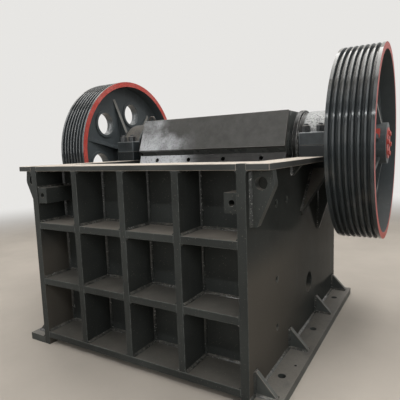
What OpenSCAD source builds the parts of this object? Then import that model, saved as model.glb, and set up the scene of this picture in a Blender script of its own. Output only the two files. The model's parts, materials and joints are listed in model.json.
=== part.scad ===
// Jaw crusher with a welded plate frame, 1000 mm wide jaws and two grooved wheels.
// X runs across the machine, Y from the ribbed front wall to the back, Z up from the floor.
// The origin is on the floor, in the middle of the machine's length and width.

/* [Frame] */
// Clear width between the side walls
inner_w = 1080; // [1000:10:1200]
// Thickness of the side walls
wall_t = 36; // [25:1:50]
// Length of the side walls and feet
frame_l = 1395; // [1330:5:1410]
// Height of the underside of the top flange
flange_z = 892; // [860:2:910]
// Thickness of the top flange
flange_t = 24; // [16:1:32]
// Overhang of the top flange past the side walls
flange_over = 88; // [70:1:110]
// Radius of the access hole in each side wall
access_r = 54; // [35:1:70]
// Distance of the access hole from the front
access_y = 796; // [770:2:820]
// Height of the access hole
access_z = 250; // [230:2:300]
// Height at which the slanted back corner of the side walls ends
back_z = 600; // [560:5:640]
// Depth of the cells behind the rear wall
rear_d = 110; // [80:2:120]
// Thickness of the rear wall
rear_t = 36; // [25:1:50]

/* [Front wall] */
// Depth of the cells in front of the front wall
cell_d = 170; // [120:5:180]
// Thickness of the front wall
front_t = 36; // [25:1:50]
// Thickness of the upright ribs
rib_t = 32; // [20:1:45]
// Thickness of the shelves
shelf_t = 32; // [20:1:45]
// Height of the underside of the bottom shelf
bottom_z = 38; // [30:1:60]
// Width of the two drilled blocks in the top cells
block_w = 60; // [40:1:80]
// Height of the drilled blocks
block_h = 75; // [50:1:90]
// Height of the underside of the drilled blocks
block_z = 736; // [700:2:780]
// Radius of the hole along each block
block_hole_r = 12; // [6:0.5:16]
// Length of the walls' front corners that rise beside the top flange
corner_l = 42; // [30:1:60]

/* [Feet] */
// Width of each foot plate outside the wall
foot_w = 108; // [100:1:130]
// Thickness of the foot plates
foot_t = 36; // [25:1:50]
// Radius of the foot bolt holes
foot_hole_r = 17; // [12:0.5:20]
// Distance of the foot bolt line from the wall
foot_hole_x = 49; // [44:1:60]
// Distance of the first foot bolt from the front
foot_hole_y = 214; // [180:1:260]
// Height of the foot gussets above the foot
gusset_h = 94; // [60:1:130]
// Reach of the foot gussets from the wall
gusset_w = 88; // [60:1:98]
// Thickness of all gussets
gusset_t = 22; // [14:1:30]

/* [Lifting lugs] */
// Radius of the lug holes
lug_hole_r = 24; // [16:1:30]
// Thickness of the lug plates
lug_t = 36; // [24:1:44]

/* [Bearings and shaft] */
// Distance of the shaft from the front
shaft_y = 975; // [960:1:990]
// Height of the shaft
shaft_z = 971; // [965:1:985]
// Radius of the shaft in its main bearings
shaft_r = 75; // [60:1:80]
// Offset of the eccentric journal from the shaft
throw = 12; // [8:1:14]
// Radius of the eccentric journal
journal_r = 95; // [95:1:105]
// Width of the bearing housings
housing_w = 133; // [110:1:140]
// Half of the length of the bearing housings
housing_l = 237; // [220:1:245]
// Outer radius of the bearing housings
housing_r = 185; // [170:1:190]
// Thickness of the flange of each bearing cap
cap_t = 64; // [40:1:70]
// Running clearance round the shaft and the journal
run_gap = 0.1; // [0.05:0.05:0.3]
// Radius of the rim of the inner bearing covers
cover_rim_r = 195; // [188:1:200]
// Thickness of the outer bearing covers
cover_out_t = 14; // [8:1:20]

/* [Wheels] */
// Outer radius of both wheels
wheel_r = 485; // [470:1:500]
// Width of the wheel rims
rim_w = 200; // [186:2:204]
// Thickness of the rims
rim_t = 32; // [26:1:45]
// Gap between an outer bearing cover and the wheel's rim
rim_gap = 37; // [30:1:50]
// Number of belt grooves
groove_n = 7; // [4:1:7]
// Pitch of the belt grooves
groove_p = 25.5; // [22:0.5:26]
// Depth of the belt grooves
groove_d = 18; // [10:1:19]
// Radius of the wheel hubs
hub_r = 103; // [95:1:120]
// Thickness of the wheel webs
web_t = 44; // [30:1:50]
// Number of holes and of ribs in each wheel
spoke_n = 6; // [4:1:6]
// Turn of the wheels on the shaft
wheel_turn = 45.6; // [0:0.2:60]
// Radius of the holes in the webs
web_hole_r = 74; // [50:1:78]
// Distance of these holes from the middle of the wheel
web_hole_at = 280; // [260:1:300]
// Width of the raised ring round each hole
web_ring_w = 16; // [8:1:20]
// Height of these rings above the web
web_ring_h = 8; // [4:1:12]
// Thickness of the ribs on the webs
wheel_rib_t = 22; // [14:1:30]

/* [Swing jaw] */
// Radius of the head of the swing jaw
head_r = 176; // [165:1:182]
// Distance from each side wall to the swing jaw
jaw_side = 70; // [62:1:80]
// Lean of the swing jaw from upright
jaw_a = 21; // [19:0.5:22]
// Thickness of the moving jaw plate
jaw_plate_t = 95; // [80:1:105]
// Thickness of the fixed jaw plate
fixed_plate_t = 80; // [60:1:85]
// Depth of the teeth of both jaw plates
tooth_d = 30; // [20:1:34]
// Number of teeth on the fixed jaw plate
tooth_n = 20; // [12:1:24]
// Thickness of the cheek plates
cheek_t = 30; // [20:1:40]
// Thickness of the guard plate
guard_t = 20; // [12:1:30]
// Height of the guard plate along its slope
guard_h = 202; // [180:1:215]
// Thickness of the toggle plate
toggle_t = 44; // [36:1:50]

/* [Hidden] */
$fn = 96;
wall_x = inner_w / 2;
out_x = wall_x + wall_t;
y0 = -max(frame_l, shaft_y + wheel_r) / 2;
top_z = flange_z + flange_t;
cell_h = (flange_z - bottom_z - 3 * shelf_t) / 3;
cell_w = (inner_w - 3 * rib_t) / 4;
front_y = y0 + cell_d;
chamber_y = front_y + front_t;
ax_y = y0 + shaft_y;
bore_r = shaft_r + run_gap;
jaw_w = inner_w - 2 * jaw_side;
housing_x = wall_x + housing_w / 2;
housing_end = wall_x + housing_w;
seat_r = housing_r - 12;
// Clearance of pieces that are bolted or laid on each other
seat_gap = 0.3;
// Length of the top flange, from the front to just behind the bearing housings
flange_l = shaft_y + housing_l + 18;
// Extra length of a cut past the faces that it goes through
cut = 1;

// Mirrors its children to the left side for s = -1 and keeps them on the right for s = 1
module side(s) { mirror([s < 0 ? 1 : 0, 0, 0]) children(); }

// A box from its low corner to its high corner
module block(a, b) { translate(a) cube([b[0] - a[0], b[1] - a[1], b[2] - a[2]]); }

// A round bar along X, from x1 to x2, round the point y, z
module rod(r, x1, x2, y, z) { translate([x1, y, z]) rotate([0, 90, 0]) cylinder(r = r, h = x2 - x1); }

// An outline in Y and Z, drawn out along X from x1 to x2
module slab_x(x1, x2) {
    translate([x1, 0, 0]) rotate([90, 0, 90]) linear_extrude(height = x2 - x1) children();
}

// An outline in X and Z, drawn out along Y from y1 to y2
module slab_y(y1, y2) {
    translate([0, y2, 0]) rotate([90, 0, 0]) linear_extrude(height = y2 - y1) children();
}

// Its children, on the right and mirrored to the left
module both_sides() {
    children();
    mirror([1, 0, 0]) children();
}

// Frame

// Distances of the cheek bolt holes from the front, with their heights
bolt_ys = [305, 438];
bolt_zs = [737, 412, 200];
cheek_bolts = [[bolt_ys[0], bolt_zs[0]], [bolt_ys[1], bolt_zs[0]], [bolt_ys[0], bolt_zs[1]],
    [bolt_ys[0], bolt_zs[2]]];
cheek_bolt_r = 12;
// Bevel round their mouths
bolt_bevel = 4;

module wall_outline() {
    polygon([[y0, 0], [y0 + frame_l, 0], [y0 + frame_l, back_z], [y0 + flange_l, flange_z], [y0, flange_z]]);
}

module side_wall(s) {
    color("darkslategray") side(s) difference() {
        union() {
            slab_x(wall_x, out_x) wall_outline();
            block([wall_x, y0, flange_z], [out_x, y0 + corner_l, top_z]);
        }
        rod(seat_r + seat_gap, wall_x - cut, out_x + cut, ax_y, shaft_z);
        rod(access_r, wall_x - cut, out_x + cut, y0 + access_y, access_z);
        for (b = cheek_bolts) {
            rod(cheek_bolt_r, wall_x - cut, out_x + cut, y0 + b[0], b[1]);
            translate([out_x - bolt_bevel, y0 + b[0], b[1]]) rotate([0, 90, 0])
                cylinder(r1 = cheek_bolt_r, r2 = cheek_bolt_r + bolt_bevel + cut, h = bolt_bevel + cut);
        }
    }
}
module side_wall_left() side_wall(-1);
module side_wall_right() side_wall(1);

module front_wall() {
    color("darkslategray") block([-wall_x, front_y, bottom_z], [wall_x, chamber_y, flange_z]);
}

// The places of the three upright ribs, between four cells
rib_xs = [for (i = [-1 : 1]) i * (cell_w + rib_t)];

module front_ribs() {
    color("darkslategray") for (x = rib_xs)
        block([x - rib_t / 2, y0, bottom_z + shelf_t], [x + rib_t / 2, front_y, flange_z]);
}

// A shelf in four lengths between the ribs, from y1 to y2, with its underside at z
module shelf(y1, y2, z) {
    for (i = [0 : 3]) let (x = -wall_x + i * (cell_w + rib_t))
        block([x, y1, z], [x + cell_w, y2, z + shelf_t]);
}
module upper_shelf() color("darkslategray") shelf(y0, front_y, bottom_z + 2 * (cell_h + shelf_t));
module lower_shelf() color("darkslategray") shelf(y0, front_y, bottom_z + cell_h + shelf_t);

module bottom_shelf() {
    color("darkslategray") block([-wall_x, y0, bottom_z], [wall_x, front_y, bottom_z + shelf_t]);
}

module top_flange_front() {
    color("tan") block([-wall_x, y0, flange_z], [wall_x, chamber_y, top_z]);
}

// The side flange carries the bearing housing, and is cut out round its lower half
module top_flange_side(s) {
    color("tan") side(s) difference() {
        block([wall_x, y0, flange_z], [out_x + flange_over, y0 + flange_l, top_z]);
        block([wall_x - cut, y0 - cut, flange_z - cut], [out_x, y0 + corner_l, top_z + cut]);
        rod(seat_r + seat_gap, wall_x - cut, out_x + flange_over + cut, ax_y, shaft_z);
    }
}
module top_flange_left() top_flange_side(-1);
module top_flange_right() top_flange_side(1);

// Distances of the left and the right drilled block behind the front edges of the cells
block_in_left = 5;
block_in_right = 20;

module drilled_block(s, in) {
    side(s) difference() {
        block([wall_x - block_w, y0 + in, block_z], [wall_x, front_y, block_z + block_h]);
        translate([wall_x - block_w / 2, front_y + cut, block_z + block_h / 2])
            rotate([90, 0, 0]) cylinder(r = block_hole_r, h = cell_d + cut);
    }
}

module drilled_blocks() {
    color("dimgray") {
        drilled_block(-1, block_in_left);
        drilled_block(1, block_in_right);
    }
}

// The rear wall carries the toggle, with ribs and shelves behind it
rear_y = y0 + frame_l - rear_d - rear_t;
rear_mid_z = (bottom_z + back_z - shelf_t) / 2;

module rear_wall() {
    color("darkslategray") block([-wall_x, rear_y, bottom_z], [wall_x, rear_y + rear_t, back_z]);
}

module rear_ribs() {
    color("darkslategray") for (x = rib_xs)
        block([x - rib_t / 2, rear_y + rear_t, bottom_z + shelf_t],
            [x + rib_t / 2, y0 + frame_l, back_z - shelf_t]);
}

module rear_shelves() {
    color("darkslategray") {
        for (z = [bottom_z, back_z - shelf_t])
            block([-wall_x, rear_y + rear_t, z], [wall_x, y0 + frame_l, z + shelf_t]);
        shelf(rear_y + rear_t, y0 + frame_l, rear_mid_z);
    }
}

// Feet

foot_pitch = frame_l / 2 - foot_hole_y;
// Distance of the jacking hole of each foot from the front, and from the wall
jack_y = 0.226 * frame_l;
jack_x = 75;
jack_r = 6;

module foot(s) {
    color("dimgray") side(s) difference() {
        block([out_x, y0, 0], [out_x + foot_w, y0 + frame_l, foot_t]);
        for (i = [0 : 2]) translate([out_x + foot_hole_x, y0 + foot_hole_y + i * foot_pitch, -cut])
            cylinder(r = foot_hole_r, h = foot_t + 2 * cut);
        translate([out_x + jack_x, y0 + jack_y, -cut]) cylinder(r = jack_r, h = foot_t + 2 * cut);
    }
}
module foot_left() foot(-1);
module foot_right() foot(1);

// Distances of the foot gussets from the nearer end of the frame
gusset_end = 56;
gusset_mid = 0.335 * frame_l;
gusset_ys = [gusset_end, gusset_mid, frame_l - gusset_mid, frame_l - gusset_end];
gusset_tip = 8;

module foot_gussets() {
    color("darkslategray") both_sides() for (y = gusset_ys)
        slab_y(y0 + y - gusset_t / 2, y0 + y + gusset_t / 2)
            polygon([[out_x, foot_t], [out_x + gusset_w, foot_t], [out_x + gusset_w, foot_t + gusset_tip],
                [out_x + gusset_tip, foot_t + gusset_h], [out_x, foot_t + gusset_h]]);
}

// Bracket under the flange: distance from the front, reach, height and height of its straight edge
bracket_y = 514;
bracket_w = 0.55 * flange_over;
bracket_h = 54;
bracket_edge = 6;
// The gussets under a bearing seat point at the shaft. Angles from straight down, and distances of
// their ends and of their outer corners from the shaft
seat_gusset_turns = [-45, 0, 45];
seat_gusset_end = 462;
seat_gusset_corner = 206;

module seat_gusset() {
    slab_y(-gusset_t / 2, gusset_t / 2)
        polygon([[out_x, gusset_tip - seat_r], [out_x, -seat_gusset_end],
            [out_x + gusset_tip, -seat_gusset_end],
            [out_x + flange_over, -seat_gusset_corner], [out_x + flange_over, gusset_tip - seat_r]]);
}

module seat_gussets() {
    color("darkslategray") both_sides() {
        slab_y(y0 + bracket_y - gusset_t / 2, y0 + bracket_y + gusset_t / 2)
            polygon([[out_x, flange_z], [out_x, flange_z - bracket_h],
                [out_x + gusset_tip, flange_z - bracket_h],
                [out_x + bracket_w, flange_z - bracket_edge], [out_x + bracket_w, flange_z]]);
        difference() {
            for (a = seat_gusset_turns) translate([0, ax_y, shaft_z]) rotate([a, 0, 0]) seat_gusset();
            rod(seat_r + seat_gap, out_x - cut, out_x + flange_over + cut, ax_y, shaft_z);
        }
    }
}

// Lifting lugs

// Distance of a lug from the front, and of the hole from the wall and below the flange
lug_y = 38;
lug_hole_x = 42;
lug_hole_down = 47;
// Radius of the round nose, and reach of the top edge and of the foot from the wall
lug_nose_r = 49;
lug_top = 84;
lug_foot = 24;
// Height of the plate below the flange
lug_h = 205;

lug_hole = [out_x + lug_hole_x, flange_z - lug_hole_down];

// The straight outline, which meets the round nose where its slanted edge touches it
module lug_sides() {
    foot = [out_x + lug_foot, flange_z - lug_h];
    run = lug_hole - foot;
    rise = atan2(run[1], run[0]) - asin(lug_nose_r / norm(run));
    meet = foot + sqrt(norm(run) ^ 2 - lug_nose_r ^ 2) * [cos(rise), sin(rise)];
    polygon([[out_x, flange_z], [out_x + lug_top, flange_z], lug_hole + [lug_nose_r, 0], lug_hole, meet, foot,
        [out_x, flange_z - lug_h]]);
}

module lug_nose() {
    intersection() {
        translate(lug_hole) circle(r = lug_nose_r);
        translate([out_x, 0]) square([lug_top + lug_nose_r, flange_z]);
    }
}

module lifting_lugs(s) {
    front = y0 + lug_y;
    color("dimgray") side(s) difference() {
        union() {
            slab_y(front, front + lug_t) lug_sides();
            slab_y(front, front + lug_t) lug_nose();
        }
        slab_y(front - cut, front + lug_t + cut) translate(lug_hole) circle(r = lug_hole_r);
    }
}
module lifting_lugs_left() lifting_lugs(-1);
module lifting_lugs_right() lifting_lugs(1);

// Bearings

// Height at which the housings are split, just above the shaft's middle
split_z = shaft_z + 3;

module bearing_housing(s) {
    color("dimgray") side(s) difference() {
        union() {
            block([wall_x, ax_y - housing_l, top_z], [housing_end, ax_y + housing_l, split_z]);
            intersection() {
                rod(seat_r, wall_x, housing_end, ax_y, shaft_z);
                block([wall_x, ax_y - housing_r, shaft_z - housing_r],
                    [housing_end, ax_y + housing_r, split_z]);
            }
        }
        rod(bore_r, wall_x - cut, housing_end + cut, ax_y, shaft_z);
    }
}
module bearing_housing_left() bearing_housing(-1);
module bearing_housing_right() bearing_housing(1);

module bearing_cap(s) {
    color("silver") side(s) difference() {
        union() {
            block([wall_x, ax_y - housing_l, split_z], [housing_end, ax_y + housing_l, split_z + cap_t]);
            intersection() {
                rod(housing_r, wall_x, housing_end, ax_y, shaft_z);
                block([wall_x, ax_y - housing_r, split_z],
                    [housing_end, ax_y + housing_r, shaft_z + housing_r]);
            }
        }
        rod(bore_r, wall_x - cut, housing_end + cut, ax_y, shaft_z);
    }
}
module bearing_cap_left() bearing_cap(-1);
module bearing_cap_right() bearing_cap(1);

// The inner cover has a wide rim and a neck against the wall
cover_r = housing_r - 5;
cover_in_t = 50;
cover_rim_t = 25;

module bearing_covers(s) {
    color("slategray") side(s) {
        difference() {
            union() {
                rod(cover_rim_r, wall_x - cover_in_t, wall_x - cover_in_t + cover_rim_t, ax_y, shaft_z);
                rod(cover_r, wall_x - cover_in_t, wall_x, ax_y, shaft_z);
            }
            rod(bore_r, wall_x - cover_in_t - cut, wall_x + cut, ax_y, shaft_z);
        }
        difference() {
            rod(cover_r, housing_end, housing_end + cover_out_t, ax_y, shaft_z);
            rod(bore_r, housing_end - cut, housing_end + cover_out_t + cut, ax_y, shaft_z);
        }
    }
}
module bearing_covers_left() bearing_covers(-1);
module bearing_covers_right() bearing_covers(1);

// Crushing chamber

// Heights of the lower and upper ends of the fixed jaw plate and the cheek plates
fixed_low_z = 62;
fixed_top_z = flange_z - 12;
// Side clearance of the jaw plates between the cheek plates
plate_side = 10;
plate_w = inner_w - 2 * cheek_t - 2 * plate_side;
// Half widths of a tooth at its root and at its tip, as shares of the pitch
tooth_root = 0.32;
tooth_tip = 0.18;

// The outline of a toothed jaw plate seen from above: a flat back at 0 and n teeth up to t
module toothed(w, t, n) {
    p = w / n;
    tooth = [[tooth_root, tooth_d], [tooth_tip, 0], [-tooth_tip, 0], [-tooth_root, tooth_d]];
    polygon(concat([[-w / 2, 0], [w / 2, 0], [w / 2, t - tooth_d]],
        [for (i = [n - 1 : -1 : 0], q = tooth) [-w / 2 + (i + 0.5 + q[0]) * p, t - q[1]]],
        [[-w / 2, t - tooth_d]]));
}

module fixed_jaw_plate() {
    color("gray") translate([0, chamber_y, fixed_low_z])
        linear_extrude(height = fixed_top_z - fixed_low_z) toothed(plate_w, fixed_plate_t, tooth_n);
}

// Depth of the cheek plates at their lower and upper ends
cheek_low_l = 260;
cheek_top_l = 470;

module cheek_plate(s) {
    color("gray") side(s) slab_x(wall_x - cheek_t, wall_x)
        polygon([[chamber_y, fixed_low_z], [chamber_y + cheek_low_l, fixed_low_z],
            [chamber_y + cheek_top_l, fixed_top_z], [chamber_y, fixed_top_z]]);
}
module cheek_plate_left() cheek_plate(-1);
module cheek_plate_right() cheek_plate(1);

// Swing jaw. It is drawn upright round the eccentric journal, and then leans back by jaw_a

journal_z = shaft_z + throw;
module leaning() { translate([0, ax_y, journal_z]) rotate([-jaw_a, 0, 0]) children(); }

// A step along Y and Z in the machine, as a step in the upright jaw
function upright(y, z) = [y * cos(jaw_a) - z * sin(jaw_a), y * sin(jaw_a) + z * cos(jaw_a)];

// Face of the jaw, and the fronts of the clamp bar and of the guard, ahead of the journal
face_n = -168;
bar_n = face_n - 40;
guard_n = -238;
nose_n = guard_n + guard_t + seat_gap;
// Places below the journal: foot and head of the jaw plate, clamp bar, guard and toggle seat
low_t = -1091;
plate_top_t = -195;
bar_t0 = -183;
bar_t1 = -123;
guard_t0 = -101;
guard_t1 = guard_t0 + guard_h;
// The flat top of the head, where it meets the back of the guard
nose_top_t = (head_r + nose_n * sin(jaw_a)) / cos(jaw_a);
jaw_seat = [-16, -911];
jaw_seat_r = 32;
// Height of the foot's corners above and below the toggle seat
seat_over = 80;
seat_under = 50;
// Top of the foot and underside of the head, with the ribs between them
foot_top_t = jaw_seat[1] + 75;
head_low_t = -271;
// Thickness of the jaw behind its face, and the back of the ribs
jaw_slab_t = 60;
slab_n = face_n + jaw_slab_t;
rib_back_n = 24;
rib_back_t = -311;
jaw_foot_gap = 40;

// A point of the upright jaw, as a place along Y and Z in the machine
function leant(p) = [ax_y + p[0] * cos(jaw_a) + p[1] * sin(jaw_a),
    journal_z - p[0] * sin(jaw_a) + p[1] * cos(jaw_a)];

module jaw_outline() {
    polygon([[face_n, head_low_t], [face_n, guard_t0 - 18], [nose_n, guard_t0], [nose_n, nose_top_t],
        upright(0, head_r), [64, -11], [rib_back_n + 6, head_low_t]]);
    polygon([[face_n, foot_top_t], [slab_n, foot_top_t], [slab_n, head_low_t], [face_n, head_low_t]]);
    polygon([[face_n, low_t + jaw_foot_gap], [face_n, foot_top_t], jaw_seat + upright(0, seat_over),
        jaw_seat - upright(0, seat_under), [jaw_seat[0] - seat_under, low_t + 2 * jaw_foot_gap]]);
}

module swing_jaw() {
    color("darkslategray") leaning() difference() {
        union() {
            slab_x(-jaw_w / 2, jaw_w / 2) jaw_outline();
            rod(head_r, -jaw_w / 2, jaw_w / 2, 0, 0);
        }
        rod(journal_r + run_gap, -jaw_w / 2 - cut, jaw_w / 2 + cut, 0, 0);
        rod(jaw_seat_r, -jaw_w / 2 - cut, jaw_w / 2 + cut, jaw_seat[0], jaw_seat[1]);
    }
}

// Five ribs behind the jaw, from its head to its foot
jaw_rib_t = 40;
jaw_rib_n = 5;

module jaw_ribs() {
    p = (jaw_w - jaw_rib_t) / (jaw_rib_n - 1);
    color("darkslategray") leaning() for (i = [0 : jaw_rib_n - 1]) let (x = -jaw_w / 2 + i * p)
        slab_x(x, x + jaw_rib_t) polygon([[slab_n, foot_top_t], [slab_n, head_low_t],
            [rib_back_n + 6, head_low_t], [rib_back_n, rib_back_t],
            jaw_seat + upright(0, seat_over)]);
}

module moving_jaw_plate() {
    color("gray") leaning() translate([0, face_n - seat_gap, low_t])
        rotate([0, 0, 180]) linear_extrude(height = plate_top_t - low_t)
            toothed(jaw_w, jaw_plate_t, tooth_n - 1);
}

bar_hole_p = 228;
bar_hole_r = 13;
// How far the clamp bar and the guard stand out past the sides of the jaw
bar_over = 6;
guard_over = 4;

module clamp_bar() {
    color("dimgray") leaning() difference() {
        block([-jaw_w / 2 - bar_over, bar_n, bar_t0], [jaw_w / 2 + bar_over, face_n - seat_gap, bar_t1]);
        for (i = [-1.5 : 1 : 1.5]) translate([i * bar_hole_p, face_n + cut, (bar_t0 + bar_t1) / 2])
            rotate([90, 0, 0]) cylinder(r = bar_hole_r, h = face_n - bar_n + 2 * cut);
    }
}

module guard_plate() {
    color("slategray") leaning()
        block([-jaw_w / 2 - guard_over, guard_n, guard_t0],
            [jaw_w / 2 + guard_over, guard_n + guard_t, guard_t1]);
}

// Toggle

// The middles of the toggle's round ends: the front one stands clear of the jaw by its motion
toggle_gap = throw + 8;
toggle_z = 230;
seat_plate_t = 50;
adjust_t = 54;
toggle_r = toggle_t / 2;
toggle_start = leant(jaw_seat) + [toggle_gap + toggle_r, 6];
toggle_end = [rear_y - adjust_t - seat_plate_t, toggle_z];
// How much thinner the toggle plate is than its round ends, on each side
toggle_waist = 3;
// Distance of the toggle's ends, and of its seats, inside the sides of the jaw
toggle_side = 40;
toggle_seat_side = 20;

module jaw_toggle_seat() {
    seat = leant(jaw_seat);
    color("dimgray") difference() {
        rod(jaw_seat_r - seat_gap, -jaw_w / 2 + toggle_seat_side, jaw_w / 2 - toggle_seat_side, seat[0],
            seat[1]);
        block([-jaw_w, seat[0], seat[1] - 2 * jaw_seat_r],
            [jaw_w, seat[0] + 2 * jaw_seat_r, seat[1] + 2 * jaw_seat_r]);
    }
}

module toggle_plate() {
    run = toggle_end - toggle_start;
    x = jaw_w / 2 - toggle_side;
    color("gray") {
        translate([0, toggle_start[0], toggle_start[1]]) rotate([atan2(run[1], run[0]), 0, 0])
            block([-x, 0, toggle_waist - toggle_r], [x, norm(run), toggle_r - toggle_waist]);
        for (p = [toggle_start, toggle_end]) rod(toggle_r, -x, x, p[0], p[1]);
    }
}

// The front of the seat stands back from the middle of the toggle's end by this much
toggle_seat_back = 5;
toggle_seat_h = 60;

module toggle_seat() {
    x = jaw_w / 2 - toggle_seat_side;
    color("dimgray") difference() {
        block([-x, toggle_end[0] + toggle_seat_back, toggle_z - toggle_seat_h],
            [x, toggle_end[0] + seat_plate_t, toggle_z + toggle_seat_h]);
        rod(toggle_r + seat_gap, -x - cut, x + cut, toggle_end[0], toggle_z);
    }
}

module adjusting_block() {
    color("dimgray") block([-jaw_w / 2, rear_y - adjust_t, toggle_z - 1.4 * toggle_seat_h],
        [jaw_w / 2, rear_y, toggle_z + 1.4 * toggle_seat_h]);
}

// Rotor

rim_x = housing_end + cover_out_t + rim_gap;
wheel_mid = rim_x + rim_w / 2;
// Gap between an outer cover and the hub, and how far the hub stands out past the rim
hub_gap = 6;
hub_out = 2;
hub_x = housing_end + cover_out_t + hub_gap;
hub_end = rim_x + rim_w + hub_out;
journal_side = 2;

module eccentric_shaft() {
    color("silver") {
        rod(shaft_r, -hub_end, hub_end, ax_y, shaft_z);
        rod(journal_r, -jaw_w / 2 + journal_side, jaw_w / 2 - journal_side, ax_y, journal_z);
    }
}

// Half widths of a belt groove at its mouth and at its floor, as shares of the pitch
groove_mouth = 0.36;
groove_floor = 0.18;

// Half of a rim's cross section, with its grooves, as radius and width
module rim_section() {
    g0 = -(groove_n - 1) / 2 * groove_p;
    groove = [[-groove_mouth, 0], [-groove_floor, groove_d], [groove_floor, groove_d], [groove_mouth, 0]];
    polygon(concat([[wheel_r - rim_t, -rim_w / 2], [wheel_r, -rim_w / 2]],
        [for (i = [0 : groove_n - 1], q = groove) [wheel_r - q[1], g0 + (i + q[0]) * groove_p]],
        [[wheel_r, rim_w / 2], [wheel_r - rim_t, rim_w / 2]]));
}

// Height of the wheel ribs at the hub, the gap between their tips and the rim, and how far the tips
// run down into the web
wheel_rib_h = 76;
wheel_rib_gap = 61;
wheel_rib_in = 2;

// A rib on both sides of the web, from the hub outwards
module wheel_rib() {
    r0 = hub_r - 10;
    r1 = wheel_r - rim_t - wheel_rib_gap;
    tip = web_t / 2 - wheel_rib_in;
    rotate([90, 0, 0]) linear_extrude(height = wheel_rib_t, center = true)
        polygon([[r0, -wheel_rib_h], [r1, -tip], [r1, tip], [r0, wheel_rib_h]]);
}

// Its children once for each hole, turned round the wheel; half a step on, they lie between the holes
module around(step) {
    for (i = [0 : spoke_n - 1]) rotate([0, 0, wheel_turn + (i + step) * 360 / spoke_n]) children();
}

// How far the web runs into the rim
web_in = 2;

// A grooved wheel with a web, holes and ribs, round X
module wheel(s) {
    color("darkslategray") side(s) translate([wheel_mid, ax_y, shaft_z]) rotate([0, 90, 0]) {
        rotate_extrude() rim_section();
        difference() {
            union() {
                cylinder(r = wheel_r - rim_t + web_in, h = web_t, center = true);
                translate([0, 0, hub_x - wheel_mid]) cylinder(r = hub_r, h = hub_end - hub_x);
                around(0.5) wheel_rib();
                around(0) translate([web_hole_at, 0, 0])
                    cylinder(r = web_hole_r + web_ring_w, h = web_t + 2 * web_ring_h, center = true);
            }
            around(0) translate([web_hole_at, 0, 0])
                cylinder(r = web_hole_r, h = web_t + 2 * web_ring_h + 2 * cut, center = true);
            translate([0, 0, hub_x - wheel_mid - cut]) cylinder(r = shaft_r, h = hub_end - hub_x + 2 * cut);
        }
    }
}
module flywheel() wheel(-1);
module drive_pulley() wheel(1);

// The clamp rings hold the hubs on the ends of the shaft
clamp_r = 78;
clamp_hole_r = 36;
clamp_t = 12;

module clamp_rings() {
    color("firebrick") both_sides() difference() {
        rod(clamp_r, hub_end, hub_end + clamp_t, ax_y, shaft_z);
        rod(clamp_hole_r, hub_end - cut, hub_end + clamp_t + cut, ax_y, shaft_z);
    }
}

// The lifting eye is an arch of round bar on the flat top of the jaw's head, behind the guard.
// Distances of its middle from the jaw's left side and ahead of the journal, and its radii and legs
eye_side = 30;
eye_front = 152;
eye_r = 20;
eye_bar_r = 6;
eye_leg = 10;

module jaw_lifting_eye() {
    size = eye_r + 2 * eye_bar_r;
    color("silver") translate([eye_side - jaw_w / 2, ax_y - eye_front, journal_z + head_r + seat_gap]) {
        translate([0, 0, eye_leg]) rotate([90, 0, 0]) intersection() {
            rotate_extrude() translate([eye_r, 0]) circle(r = eye_bar_r, $fn = 24);
            translate([-size, 0, -size]) cube([2 * size, size, 2 * size]);
        }
        for (x = [-eye_r, eye_r]) translate([x, 0, 0]) cylinder(r = eye_bar_r, h = eye_leg, $fn = 24);
    }
}

side_wall_left();
side_wall_right();
front_wall();
front_ribs();
upper_shelf();
lower_shelf();
bottom_shelf();
top_flange_front();
top_flange_left();
top_flange_right();
drilled_blocks();
foot_left();
foot_right();
foot_gussets();
seat_gussets();
lifting_lugs_left();
lifting_lugs_right();
bearing_housing_left();
bearing_housing_right();
bearing_cap_left();
bearing_cap_right();
bearing_covers_left();
bearing_covers_right();
fixed_jaw_plate();
cheek_plate_left();
cheek_plate_right();
rear_wall();
rear_ribs();
rear_shelves();
adjusting_block();
toggle_seat();
toggle_plate();
eccentric_shaft();
flywheel();
drive_pulley();
clamp_rings();
swing_jaw();
jaw_ribs();
moving_jaw_plate();
clamp_bar();
guard_plate();
jaw_toggle_seat();
jaw_lifting_eye();
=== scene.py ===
"""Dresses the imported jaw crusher: finished plates, welds, bolts, wheels, jaws and a plain stage."""

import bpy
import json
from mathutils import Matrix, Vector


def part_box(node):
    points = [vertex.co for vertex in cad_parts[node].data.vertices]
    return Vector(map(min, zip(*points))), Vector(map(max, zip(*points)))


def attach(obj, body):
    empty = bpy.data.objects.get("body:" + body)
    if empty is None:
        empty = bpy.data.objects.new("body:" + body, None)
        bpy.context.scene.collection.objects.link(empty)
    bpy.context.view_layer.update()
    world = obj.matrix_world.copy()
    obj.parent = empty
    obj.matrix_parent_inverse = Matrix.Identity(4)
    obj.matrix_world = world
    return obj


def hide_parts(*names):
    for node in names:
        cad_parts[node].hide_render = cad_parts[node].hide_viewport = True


bl_info = {
    "name": "Jaw Crusher",
    "version": (1, 0, 0),
    "blender": (4, 5, 0),
    "location": "3D View > Sidebar > Crusher",
    "description": "Finishes the plates, welds, bearings, wheels and jaws of a jaw crusher",
    "category": "Object",
}

import json
import math

import bmesh
import bpy
from mathutils import Matrix, Quaternion, Vector, noise

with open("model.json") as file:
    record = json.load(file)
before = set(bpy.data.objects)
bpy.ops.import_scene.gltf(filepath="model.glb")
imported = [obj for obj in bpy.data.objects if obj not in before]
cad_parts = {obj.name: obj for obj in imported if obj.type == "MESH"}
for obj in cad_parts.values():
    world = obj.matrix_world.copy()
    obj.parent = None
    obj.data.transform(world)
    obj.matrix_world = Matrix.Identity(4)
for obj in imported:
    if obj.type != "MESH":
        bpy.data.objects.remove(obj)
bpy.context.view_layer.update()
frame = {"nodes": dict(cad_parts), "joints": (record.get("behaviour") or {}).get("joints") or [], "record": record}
BODY_OF = {n: b for b, names in frame["record"]["behaviour"]["bodies"].items() for n in names}
SIDES = {"left": -1, "right": 1}

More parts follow.
